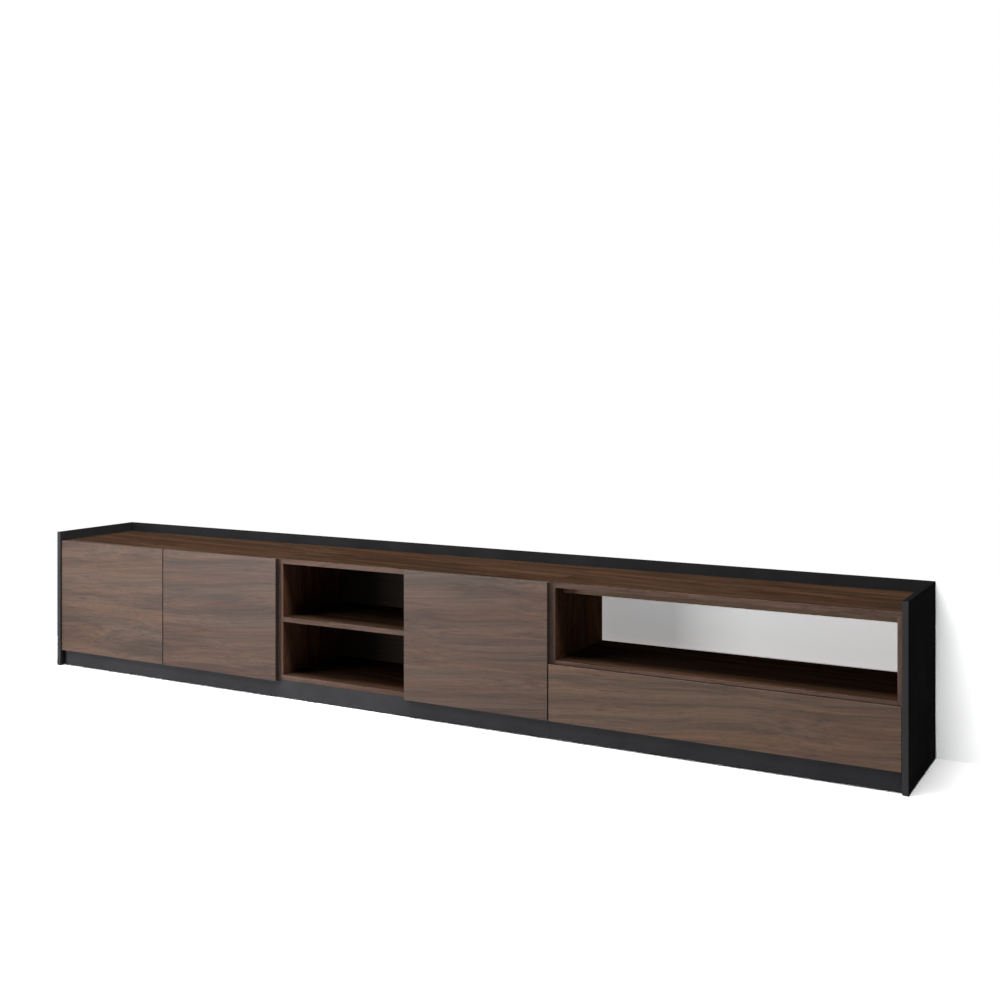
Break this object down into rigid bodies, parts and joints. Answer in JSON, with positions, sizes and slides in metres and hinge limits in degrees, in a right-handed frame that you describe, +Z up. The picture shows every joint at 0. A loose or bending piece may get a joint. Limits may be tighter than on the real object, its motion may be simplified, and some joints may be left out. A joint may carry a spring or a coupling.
{
  "type": "tv stand",
  "caption": "Long low television stand with hinged doors, an open niche with a shelf, and an open compartment over a wide drawer.",
  "frame": {"origin": "on the floor, under the middle of the width and depth", "axes": "+X to the right seen from the front, +Y towards the back, +Z up"},
  "size_m": [3.032, 0.37, 0.49],
  "materials": {
    "walnut_board": "walnut-look foil, satin",
    "black_board": "black foil, satin",
    "back_board": "printed dark hardboard",
    "steel": "nickel plated, satin",
    "plastic": "matt moulded",
    "dowel_beech": "plain fluted beech"
  },
  "bodies": {
    "cabinet": {"left_cabinet_left_side": "walnut_board", "left_cabinet_right_side": "walnut_board", "left_cabinet_partition": "walnut_board", "left_cabinet_top": "walnut_board", "left_cabinet_bottom": "walnut_board", "middle_cabinet_left_side": "walnut_board", "middle_cabinet_right_side": "walnut_board", "middle_cabinet_divider": "walnut_board", "middle_cabinet_top": "walnut_board", "middle_cabinet_bottom": "walnut_board", "niche_shelf": "walnut_board", "loose_shelves": "walnut_board", "right_cabinet_left_side": "walnut_board", "right_cabinet_right_side": "walnut_board", "right_cabinet_top": "walnut_board", "right_cabinet_bottom": "walnut_board", "right_cabinet_mid_board": "walnut_board", "stretcher_rail": "walnut_board", "left_end_panel": "black_board", "right_end_panel": "black_board", "upstand_left": "black_board", "upstand_middle": "black_board", "upstand_right": "black_board", "plinth_left": "black_board", "plinth_middle": "black_board", "plinth_right": "black_board", "plinth_rear_boards": "black_board", "plinth_braces": "black_board", "left_cabinet_back": "back_board", "middle_cabinet_back": "back_board", "right_cabinet_back": "back_board", "hinge_arms": "steel", "runner_cabinet_members": "steel", "cam_locks": "steel", "cam_bolts": "steel", "tie_bolts": "steel", "upstand_screws": "steel", "shelf_pins": "steel", "shelf_dowels": "dowel_beech", "glides": "plastic", "latch_housings": "plastic"},
    "left_door_leaf": {"left_door": "walnut_board", "left_hinge_cups": "steel"},
    "left_door_link": {"left_hinge_links": "steel"},
    "middle_door_leaf": {"middle_door": "walnut_board", "middle_hinge_cups": "steel"},
    "middle_door_link": {"middle_hinge_links": "steel"},
    "right_door_leaf": {"right_door": "walnut_board", "right_hinge_cups": "steel"},
    "right_door_link": {"right_hinge_links": "steel"},
    "drawer": {"drawer_front": "walnut_board", "drawer_sides": "walnut_board", "drawer_back": "walnut_board", "drawer_bottom": "back_board", "runner_drawer_members": "steel"},
    "drawer_runner_middle": {"runner_middle_members": "steel"},
    "left_door_plunger_body": {"left_door_plunger": "plastic"},
    "middle_door_plunger_body": {"middle_door_plunger": "plastic"},
    "right_door_plunger_body": {"right_door_plunger": "plastic"},
    "drawer_plungers_body": {"drawer_plungers": "plastic"}
  },
  "joints": [
    {"name": "left_door_link_swing", "type": "hinge", "parent": "cabinet", "child": "left_door_link", "pos_m": [-1.4505, -0.15, 0.258], "axis": [0, 0, 1], "range_deg": [0, 36]},
    {"name": "left_door_swing", "type": "hinge", "parent": "left_door_link", "child": "left_door_leaf", "pos_m": [-1.483, -0.17, 0.258], "axis": [0, 0, -1], "range_deg": [0, 126]},
    {"name": "middle_door_link_swing", "type": "hinge", "parent": "cabinet", "child": "middle_door_link", "pos_m": [-0.5495, -0.15, 0.258], "axis": [0, 0, -1], "range_deg": [0, 36]},
    {"name": "middle_door_swing", "type": "hinge", "parent": "middle_door_link", "child": "middle_door_leaf", "pos_m": [-0.517, -0.17, 0.258], "axis": [0, 0, 1], "range_deg": [0, 126]},
    {"name": "right_door_link_swing", "type": "hinge", "parent": "cabinet", "child": "right_door_link", "pos_m": [0.4505, -0.15, 0.258], "axis": [0, 0, -1], "range_deg": [0, 36]},
    {"name": "right_door_swing", "type": "hinge", "parent": "right_door_link", "child": "right_door_leaf", "pos_m": [0.483, -0.17, 0.258], "axis": [0, 0, 1], "range_deg": [0, 126]},
    {"name": "drawer_slide", "type": "slide", "parent": "cabinet", "child": "drawer", "axis": [0, -1, 0], "range_m": [0, 0.25]},
    {"name": "drawer_runner_slide", "type": "slide", "parent": "cabinet", "child": "drawer_runner_middle", "axis": [0, -1, 0], "range_m": [0, 0.125]},
    {"name": "left_door_plunger_push", "type": "slide", "parent": "cabinet", "child": "left_door_plunger_body", "axis": [0, 1, 0], "range_m": [0, 0.002], "stiffness_N_per_m": 600},
    {"name": "middle_door_plunger_push", "type": "slide", "parent": "cabinet", "child": "middle_door_plunger_body", "axis": [0, 1, 0], "range_m": [0, 0.002], "stiffness_N_per_m": 600},
    {"name": "right_door_plunger_push", "type": "slide", "parent": "cabinet", "child": "right_door_plunger_body", "axis": [0, 1, 0], "range_m": [0, 0.002], "stiffness_N_per_m": 600},
    {"name": "drawer_plungers_push", "type": "slide", "parent": "cabinet", "child": "drawer_plungers_body", "axis": [0, 1, 0], "range_m": [0, 0.002], "stiffness_N_per_m": 600}
  ],
  "couplings": [
    {"joint": "left_door_link_swing", "follows": "left_door_swing", "ratio": 0.28571},
    {"joint": "middle_door_link_swing", "follows": "middle_door_swing", "ratio": 0.28571},
    {"joint": "right_door_link_swing", "follows": "right_door_swing", "ratio": 0.28571},
    {"joint": "drawer_runner_slide", "follows": "drawer_slide", "ratio": 0.5}
  ]
}
